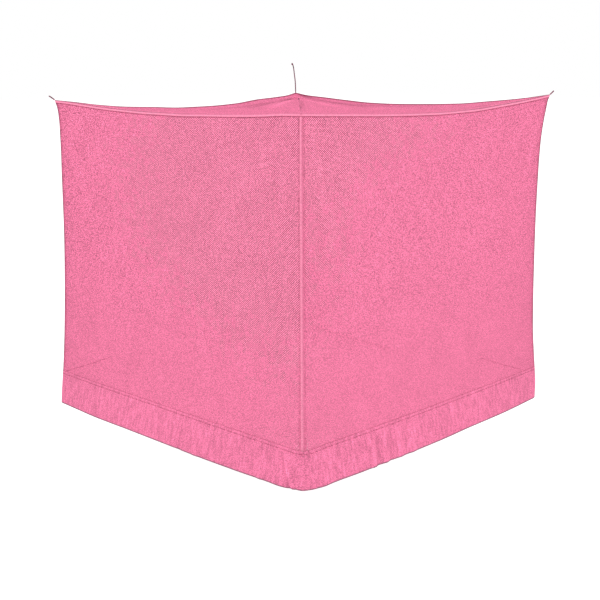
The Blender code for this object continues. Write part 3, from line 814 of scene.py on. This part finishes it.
def knot_path(centre, ahead):
    """A tight overhand knot: the closed line that its cord follows."""
    t = np.linspace(0, 2 * np.pi, 97)
    line = (np.sin(t) + 2 * np.sin(2 * t), np.cos(t) - 2 * np.cos(2 * t), -1.6 * np.sin(3 * t))
    turned = np.array(Vector(ahead).to_track_quat("X", "Y").to_matrix())
    return np.array(centre) + (np.stack(line, axis=-1) * KNOT_SIZE) @ turned.T


def whipping(corner, path, material):
    """Thread wound round the root of a tie."""
    angle = np.linspace(0, 2 * np.pi * WRAPS, 97)
    start, ahead = path[2], unit(path[6] - path[0])
    side = unit(np.cross(ahead, OFF_AXIS))
    other = np.cross(ahead, side)
    rise = angle / (2 * np.pi * WRAPS) * WRAP_HEIGHT
    round_it = side * np.cos(angle)[:, None] + other * np.sin(angle)[:, None]
    wound = start + ahead * rise[:, None] + round_it * WRAP_RADIUS
    points, _ = swept(wound, WRAP_THREAD, WRAP_TWIST, 2, around=8)
    return laid(f"whipping_{corner}", points, np.zeros((*points.shape[:2], 2)), material, closed=True)


for corner in TIE_ROUTES:
    cord, thread = (PINK_CORD, PINK_THREAD) if corner == "front_right" else (CORD, DARK_THREAD)
    path = tie_path(corner)
    length = float(along_path(path)[-1])
    taper = np.clip((length - along_path(path)) / TIE_TAPER, 0, 1) ** 0.5
    piece = rope(f"cord_{corner}", path, TIE / 2 * (TIE_END + (1 - TIE_END) * taper), cord)
    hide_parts(f"tie_{corner}")
    if corner == "back_left":
        spot = int(len(path) * KNOT_AT)
        knot = knot_path(path[spot], path[spot + 2] - path[spot - 2])
        rope("cord_back_left_knot", knot, KNOT_CORD, cord)
    whipping(corner, path, thread)

# ---- walls and roof ----
# Soft folds of the walls. Columns: start and end (metres along and down), height and half width in mm.
WALL_FOLDS = {
    "front": mm(2, (
        ((0.03, 0.03), (0.34, 0.8), 3, 30), ((0.05, 0.02), (0.8, 0.62), 2.2, 40),
        ((1.94, 0.03), (1.7, 0.9), 3, 34), ((1.92, 0.02), (1.2, 0.7), 2.5, 40),
        ((0.6, 1.59), (0.74, 1.05), -2.2, 36), ((1.3, 1.59), (1.22, 1.15), 2.4, 34),
    )),
    "right": mm(2, (
        ((0.03, 0.03), (0.3, 0.85), 3.2, 32), ((0.05, 0.02), (0.78, 0.66), 2.4, 40),
        ((1.96, 0.03), (1.72, 0.85), 3, 32), ((1.94, 0.02), (1.15, 0.6), 2.2, 40),
        ((0.58, 1.59), (0.64, 1.1), 2.4, 34), ((1.42, 1.59), (1.3, 1.12), -2.2, 36),
    )),
    "back": mm(2, (
        ((0.03, 0.03), (0.36, 0.9), 3, 32), ((1.95, 0.03), (1.66, 0.86), 2.8, 34),
        ((0.92, 1.59), (0.84, 1.05), 2.4, 36),
    )),
    "left": mm(2, (
        ((0.03, 0.03), (0.32, 0.84), 2.8, 32), ((1.92, 0.03), (1.62, 0.92), 3, 34),
        ((1.12, 1.59), (1.2, 1.02), -2.4, 36),
    )),
}
# Where the slanting threads show. Columns: wall, share along, depth, reach along and down, strength.
SLANT_PATCHES = (
    ("front", 0.92, 0.15, 0.36, 0.95, 0.72),
    ("front", 0.5, 0.45, 0.4, 0.6, 0.28),
    ("right", 0.06, 0.3, 0.22, 0.9, 0.32),
    ("right", 0.35, 0.1, 0.45, 0.22, 0.26),
    ("back", 0.5, 0.4, 0.5, 0.8, 0.3),
    ("left", 0.5, 0.4, 0.5, 0.8, 0.3),
)
SLANT_EVERYWHERE = 0.08
NEAR_CORNER = "front_right"  # where the two near walls meet
SIDE_CORNER = {"front": "front_left", "right": "back_right"}  # their other corners
WALL_PITCH = 2.0  # from one wall's place along the netting's pattern to the next
ROOF_PLACE = 10.0  # the roof's place down it
FINE_FOLD = 0.003  # a fold as high as this changes the painted shade by the amounts below
WALL_FOLD_SHADE, ROOF_FOLD_SHADE = 0.05, 0.42
WALL_DOUBLED, ROOF_SLANT, ROOF_GRAIN = 0.3, 0.05, 0.65


def eased(count, crowding):
    """Shares 0 to 1, closer together towards both ends."""
    t = np.linspace(0, 1, count)
    return (1 - crowding) * t + crowding * (1 - np.cos(np.pi * t)) / 2


def bell(distance, reach):
    """1 at no distance, fading with it."""
    return np.exp(-((distance / reach) ** 2))


depths = np.concatenate((np.linspace(0.0014, 0.1, 22)[:-1], np.linspace(0.1, NET_FOOT, 84)))
shares = WALL_TRIM + (1 - 2 * WALL_TRIM) * eased(150, 0.9)
share, depth = np.meshgrid(shares, depths)
for number, wall in enumerate(WALLS):
    length = wall_length(wall)
    to_seam = to_edge(share)
    relief = creases(WALL_FOLDS[wall], share * length, depth)
    relief *= np.clip(depth / 0.03, 0, 1) * np.clip((BORDER_TOP - depth) / 0.06, 0, 1)
    relief *= np.clip(to_seam / 0.012, 0, 1)
    strong = np.full(share.shape, SLANT_EVERYWHERE)
    for name, x, y, reach_x, reach_y, strength in SLANT_PATCHES:
        if name == wall:
            strong += strength * bell(share - x, reach_x) * bell(depth - y, reach_y)
    # Painted shade: lighter on the soft folds' ridges and darker in their valleys, darker near the seams just
    # above the border, lighter within about 0.6 m of the front right corner and darker close to the front
    # left and back right corners.
    painted_shade = 1 + relief / FINE_FOLD * WALL_FOLD_SHADE
    painted_shade -= 0.02 * bell(to_seam * length, 0.3) * bell(depth - 1.6, 0.1)
    painted_shade += 0.055 * bell(from_corner(wall, share, NEAR_CORNER), 0.6)
    painted_shade -= 0.07 * bell(from_corner(wall, share, SIDE_CORNER.get(wall)), 0.07)
    piece = laid(
        f"netting_{wall}",
        cloth(wall, share, depth, relief),
        np.stack((share * length + number * WALL_PITCH, depth), axis=-1),
        NETTING,
        thickness=NET,
        marks={
            "slant": strong,
            "edge": to_seam * length,
            "doubled": np.full(share.shape, WALL_DOUBLED),
            "painted_shade": painted_shade,
            "grain": (0.82 if wall == "right" else 1.0) * (1 - 0.45 * np.clip((depth - 0.75) / 0.6, 0, 1)),
        },
    )
    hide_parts(f"{wall}_net")

# Fine creases of the roof. Columns: start and end (metres from the front left corner), height and half
# width in mm.
FINE_CREASES = mm(2, (
    ((0.044, 1.957), (0.318, 1.906), -3, 14), ((0.28, 1.909), (0.856, 1.868), -2.6, 16),
    ((0.05, 1.9), (0.112, 1.633), -3, 13), ((0.105, 1.65), (0.156, 1.286), -2.2, 14),
    ((0.162, 1.837), (0.532, 1.499), -1.6, 13), ((0.12, 1.88), (0.62, 1.78), 2, 20),
    ((0.13, 1.78), (0.3, 1.38), 2, 20), ((0.537, 1.915), (1.25, 1.9), -1.6, 12),
    ((0.09, 1.7), (0.105, 0.9), -1.8, 12), ((1.92, 0.06), (1.35, 0.4), 2.6, 14),
    ((1.9, 0.08), (1.6, 0.62), -2.4, 14), ((0.08, 0.08), (0.4, 0.52), 2.4, 16),
    ((0.08, 0.06), (0.66, 0.3), -2.2, 16), ((1.9, 1.9), (1.5, 1.62), -2.4, 16),
    ((1.88, 1.92), (1.66, 1.4), 2.4, 16),
))
shares = ROOF_TRIM + (1 - 2 * ROOF_TRIM) * eased(186, 0.8)
width, depth = np.meshgrid(shares, shares[::-1])
side = wall_length("front")
relief = creases(FINE_CREASES, width * side, depth * side)
piece = laid(
    "netting_roof",
    roof(width, depth, relief),
    np.stack((width * side, depth * side + ROOF_PLACE), axis=-1),
    NETTING,
    thickness=NET,
    marks={
        "slant": np.full(width.shape, ROOF_SLANT),
        "edge": to_edge(width, depth) * side * 0.6 + 0.008,
        "doubled": np.clip(1.5 - np.minimum(width, 1 - depth) * side / 0.02, 0, 1),
        # painted shade: darker in the creases' valleys, lighter on their ridges
        "painted_shade": 1 + relief / FINE_FOLD * ROOF_FOLD_SHADE,
        "grain": np.full(width.shape, ROOF_GRAIN),
    },
)
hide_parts("roof_net")

# ---- what runs round the canopy ----
around_shares = eased(220, 0.55)


def ring_of(build):
    """Columns of points round all four walls, and how far round each column is."""
    grids, far, start = [], [], 0.0
    for wall in WALLS:
        grids.append(build(wall, around_shares[:-1]))
        far.append(start + around_shares[:-1] * wall_length(wall))
        start += wall_length(wall)
    grids.append(grids[0][:, :1])
    return np.concatenate(grids, axis=1), np.concatenate((*far, [start]))


WRINKLES = 54  # small wrinkles of the border on each wall
random = np.random.default_rng(7)
wrinkles = {}
for wall in WALLS:
    rows = []
    for _ in range(WRINKLES):
        x = random.uniform(0.03, 1.94)
        top = random.uniform(NET_FOOT + 0.004, DROP - 0.09)
        long = random.uniform(0.05, 0.18)
        lean = random.normal(0, 0.1) * long
        height = random.choice((-1, 1)) * random.uniform(0.0004, 0.0014)
        end = (x + lean, min(top + long, DROP + 0.02))
        rows.append(((x, top), end, height, random.uniform(0.004, 0.011)))
    wrinkles[wall] = rows
for wall, x in (("front", wall_length("front")), ("right", 0.0)):
    wrinkles[wall].append(((x, BORDER_TOP), (x, DROP + 0.1), 0.0022, 0.007))

border_depths = np.concatenate(
    (
        np.linspace(BORDER_TOP, NET_FOOT, 6),
        np.linspace(NET_FOOT + 0.002, DROP - 0.012, 30),
        DROP - np.array((0.008, 0.005, 0.002, 0.0)),
    )
)
PUCKER, PUCKER_EVERY, PUCKER_AT = 0.0005, 0.031, 1.613  # height, spacing and depth of the seam's puckers
FOLD_SHADE = 0.15  # change of painted shade at a fold of 5 mm


def border_build(wall, shares):
    """The border's points on a wall, and the painted shade of each."""
    share, depth = np.meshgrid(shares, border_depths)
    length = wall_length(wall)
    relief = creases(wrinkles[wall], share * length, depth) * np.clip((depth - NET_FOOT) / 0.02, 0, 1)
    relief += PUCKER * np.sin(share * length * 2 * np.pi / PUCKER_EVERY) * bell(depth - PUCKER_AT, 0.006)
    folds = relief + border_fold(wall, share, length, depth)
    far = from_corner(wall, share, NEAR_CORNER)
    # painted shade: lighter on folds' ridges and darker in their valleys, lighter near the front right
    # corner, darker about 2 m from it
    light = 1 + np.clip(folds / 0.005, -1.2, 1.2) * FOLD_SHADE
    light += 0.05 * bell(far, 0.2) - 0.085 * bell(far - 1.98, 0.45)
    return np.concatenate((cloth(wall, share, depth, relief, folds=True), light[..., None]), axis=-1)


border_grid, border_far = ring_of(border_build)
border_painted_shade, border_grid = border_grid[..., 3], border_grid[..., :3]
outer = lifted(border_grid, OVER_NET + BORDER_CLOTH / 2, ring=True)
turned = lifted(border_grid, OVER_NET + BORDER_CLOTH / 2 - HEM_LAYER, ring=True)
hem_rows = np.arange(len(border_depths) - 1, len(border_depths) - 6, -1)
turned_up = turned[hem_rows].copy()
turned_up[0, :, 2] += 0.0006
border_down = np.concatenate((border_depths, 2 * DROP - border_depths[hem_rows] + 0.002))
piece = laid(
    "border",
    np.concatenate((outer, turned_up), axis=0),
    np.stack(np.meshgrid(border_far, border_down), axis=-1),
    BORDER_CLOTHING,
    ring=True,
    thickness=BORDER_CLOTH * 0.7,
    marks={"painted_shade": np.concatenate((border_painted_shade, border_painted_shade[hem_rows]), axis=0)},
)
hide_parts("bottom_border")

# Rows of stitches round the border. Columns: name, depth, length, spacing, thickness, material.
for name, depth, *sizes, thread in (
    ("border_seam_stitches", NET_FOOT - 0.003, 0.011, 0.018, 0.0015, DARK_THREAD),
    ("border_top_stitches", BORDER_TOP + 0.003, 0.007, 0.0125, 0.0012, PINK_THREAD),
    ("hem_stitches", DROP - 0.012, 0.006, 0.011, 0.001, PINK_THREAD),
):
    nearest = int(np.argmin(np.abs(border_depths - depth)))
    path = lifted(border_grid, OVER_NET + BORDER_CLOTH, ring=True)[nearest]
    stitches(name, [path], *sizes, thread, "border")

# ---- corner tapes ----
tape_depths = np.concatenate(
    (np.linspace(BINDING_DROP + CLEAR, 0.1, 24)[:-1], np.linspace(0.1, BORDER_TOP - CLEAR, 90))
)
offsets = np.array((-1.0, -0.8, -0.55, -0.3, -0.12, 0.0, 0.12, 0.3, 0.55, 0.8, 1.0)) * TAPE_HALF
# Lit tape at the front right and back left corners: a painted highlight stripe and dark edge lines, partly
# stitching and partly painted shade, fading lower down. Shaded tape at the other two corners: the same tape
# as a darker painted-shade copy, with a dark painted-shade middle.
LIT_TAPE = tape_material(
    "seam tape",
    TAPE_GROUND,
    (TAPE_HIGHLIGHT, -0.0026, 0.003, 1.0, 0.8, 0.1),
    (SEAM_AND_SHADE_DARK, -0.0066, 0.0013, 0.6, 0.1, 0.5),
    (SEAM_AND_SHADE_DARK, 0.006, 0.0017, 0.7, 0.2, 0.5),
)
SHADED_TAPE = tape_material(
    "seam tape at the sides",
    TAPE_SHADED,
    (TAPE_MAUVE, 0.0, 0.004, 1.0, 1.0, 0.15),
    (SEAM_AND_SHADE_DARK, -0.0065, 0.0013, 0.6, 0.6, 0.5),
    (SEAM_AND_SHADE_DARK, 0.0065, 0.0013, 0.6, 0.6, 0.5),
)
names = list(WALLS)
for number, (wall, (corner, _)) in enumerate(WALLS.items()):
    columns = []
    for offset in offsets:
        owner, start = (wall, 0) if offset >= 0 else (names[number - 1], 1)
        columns.append(cloth(owner, start + offset / wall_length(owner), tape_depths))
    grid = np.stack(columns, axis=1)
    piece = laid(
        f"seam_tape_{corner}",
        lifted(grid, OVER_NET + TAPE / 2),
        np.stack(np.meshgrid(offsets, tape_depths), axis=-1),
        LIT_TAPE if corner in (NEAR_CORNER, "back_left") else SHADED_TAPE,
        thickness=TAPE,
    )
    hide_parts(f"corner_tape_{corner}")
    over = lifted(grid, OVER_NET + TAPE)
    paths = [(over[:, k] + over[:, k + 1]) / 2 for k in (0, len(offsets) - 2)]
    stitches(f"seam_tape_{corner}_stitches", paths, 0.007, 0.012, 0.0012, DARK_THREAD)

# ---- bindings ----
insets = np.array((1.0, 0.75, 0.5, 0.28, 0.12)) * BINDING_INSET
falls = np.array((0.0, 0.0014, 0.0032, 0.0055, 0.008, 0.0105, 0.013))
END_GAP = 0.0003  # a binding's ends stop this far short of the mitre
# The roof's shares of width and depth for a share along each wall and one inwards from it.
ON_ROOF = {
    "front": lambda s, i: (s, i),
    "right": lambda s, i: (1 - i, s),
    "back": lambda s, i: (1 - s, 1 - i),
    "left": lambda s, i: (i, 1 - s),
}
binding_across = np.concatenate((-insets * wall_length("front"), falls))
# Each binding: a painted highlight band down the wall, a dark line on its ridge as painted shade, weak near
# the front right corner and strong at the back and left, and dark lines at both edges, partly stitching and
# partly painted shade.
BINDING_TAPES = {
    wall: tape_material(
        f"edge binding {wall}",
        NET_PINK,
        (TAPE_HIGHLIGHT, 0.007, 0.0044, 1.0, 1.0, 0.1),
        (EDGE_MAUVE, roof_side, -roof_side + 0.0018, ridge, ridge_far, 0.3),
        (SEAM_AND_SHADE_DARK, 0.0128, 0.0016, 1.0, 1.0, 0.25),
        (SEAM_AND_SHADE_DARK, -0.0062, 0.0012, 0.5, 0.5, 0.5),
    )
    for wall, ridge, ridge_far, roof_side in (
        ("front", 0.85, 0.15, -0.001),
        ("right", 0.15, 0.85, -0.001),
        ("back", 0.95, 0.95, -0.0034),
        ("left", 0.95, 0.95, -0.0034),
    )
}


def binding_build(wall, shares):
    """The binding's points on a wall, from its edge on the roof to its lower edge."""
    rows = [roof(*ON_ROOF[wall](inset + (1 - 2 * inset) * shares, inset)) for inset in insets]
    return np.stack(rows + [cloth(wall, shares, fall) for fall in falls])


binding_grid, _ = ring_of(binding_build)
binding_points = lifted(binding_grid, OVER_NET + BINDING / 2, ring=True)
binding_over = lifted(binding_grid, OVER_NET + BINDING, ring=True)
span = len(around_shares) - 1
for number, wall in enumerate(WALLS):
    own = slice(number * span, (number + 1) * span + 1)
    part, over = binding_points[:, own].copy(), binding_over[:, own]
    for end, inwards in ((0, 1), (-1, -2)):
        part[:, end] += unit(part[:, inwards] - part[:, end]) * END_GAP
    piece = laid(
        f"edge_binding_{wall}",
        part,
        np.stack(np.meshgrid(around_shares * wall_length(wall), binding_across), axis=-1)[..., ::-1],
        BINDING_TAPES[wall],
        thickness=BINDING,
    )
    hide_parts(f"binding_{wall}")
    paths = [over[-2][1:-1], over[1][1:-1]]
    stitches(f"edge_binding_{wall}_stitches", paths, 0.008, 0.0125, 0.0013, DARK_THREAD)

# ---- floor, backdrop and light ----
FLOOR_AT = (1, -1, -2.15)  # the floor's middle, below the hem
FLOOR_SIZE = 60
PALE_FLOOR = {
    "Base Color": (0.3, 0.3, 0.3, 1),
    "Roughness": 0.9,
    "Specular IOR Level": 0.0,
    "Emission Color": (1, 1, 1, 1),
    "Emission Strength": 0.95,
}
mesh = bmesh.new()
bmesh.ops.create_grid(mesh, x_segments=1, y_segments=1, size=FLOOR_SIZE)
data = filled(bpy.data.meshes.new("floor"), mesh)
data.materials.append(new_material("pale floor", PALE_FLOOR)[0])
floor = bpy.data.objects.new("floor", data)
floor.location = FLOOR_AT
scene.collection.objects.link(floor)

world = bpy.data.worlds.new("studio")
world.use_nodes = True
backdrop = world.node_tree.nodes["Background"].inputs
backdrop["Color"].default_value = (1, 1, 1, 1)
backdrop["Strength"].default_value = 1.0
scene.world = world
scene.view_settings.view_transform = "Standard"
# Columns: place, what it faces, size, power
SOFTBOXES = (
    ((-5.0, -14.0, 4.6), (1.0, -1.6, -0.9), 5.0, 1000),
    ((14.0, 5.0, 4.6), (1.6, -1.0, -0.9), 5.0, 1000),
    ((1.0, -1.0, 10.0), (1.0, -1.0, 0.0), 4.0, 330),
)
for number, (place, target, size, power) in enumerate(SOFTBOXES):
    light = bpy.data.lights.new(f"softbox_{number}", "AREA")
    light.shape, light.size, light.energy = "SQUARE", size, power
    lamp = bpy.data.objects.new(f"softbox_{number}", light)
    lamp.location = place
    lamp.rotation_euler = (Vector(target) - Vector(place)).to_track_quat("-Z", "Y").to_euler()
    scene.collection.objects.link(lamp)
